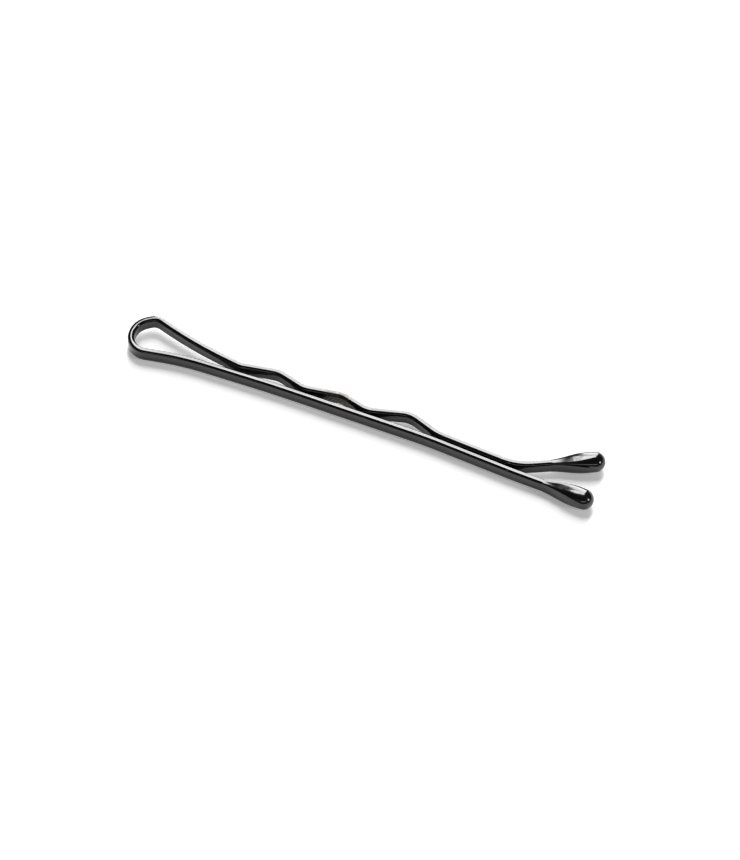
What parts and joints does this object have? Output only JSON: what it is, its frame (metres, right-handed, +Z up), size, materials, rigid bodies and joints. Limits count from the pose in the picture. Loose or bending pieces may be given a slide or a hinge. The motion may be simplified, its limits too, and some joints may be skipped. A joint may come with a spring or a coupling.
{
  "type": "bobby pin",
  "caption": "Bobby pin of flat black spring wire: a round bow joins a straight leg to a waved leg that springs open, and resin-dipped tips cap the wire ends.",
  "frame": {"origin": "centre of the bounding box at its bottom, with the pin lying on its side on the floor", "axes": "+X along the legs from the bow to the tips, +Y from the straight leg to the crimped leg, +Z up across the wire's width"},
  "size_m": [0.0508, 0.0068, 0.0021],
  "materials": {
    "lacquered_wire": "glossy black lacquer on spring steel",
    "worn_grip": "serrated crest with the black lacquer worn thin to warm steel",
    "resin_tip": "high-gloss black dipped resin"
  },
  "bodies": {
    "straight_leg": {"straight_leg": "lacquered_wire", "straight_leg_tip": "resin_tip"},
    "bow": {"bow_heel": "lacquered_wire", "bow_crown": "lacquered_wire"},
    "crimped_leg": {"shank": "lacquered_wire", "first_wave": "lacquered_wire", "grip_wave": "worn_grip", "last_wave": "lacquered_wire", "clamp_run": "lacquered_wire", "flared_tail": "lacquered_wire", "crimped_leg_tip": "resin_tip"}
  },
  "joints": [
    {"name": "heel_flex", "type": "hinge", "parent": "straight_leg", "child": "bow", "pos_m": [-0.02228, -0.00279, 0.00087], "axis": [0, 0, 1], "range_deg": [0, 10], "stiffness_Nm_per_rad": 0.32},
    {"name": "shoulder_flex", "type": "hinge", "parent": "bow", "child": "crimped_leg", "pos_m": [-0.02243, 0.00149, 0.00127], "axis": [0, 0, 1], "range_deg": [0, 10], "stiffness_Nm_per_rad": 0.32}
  ]
}
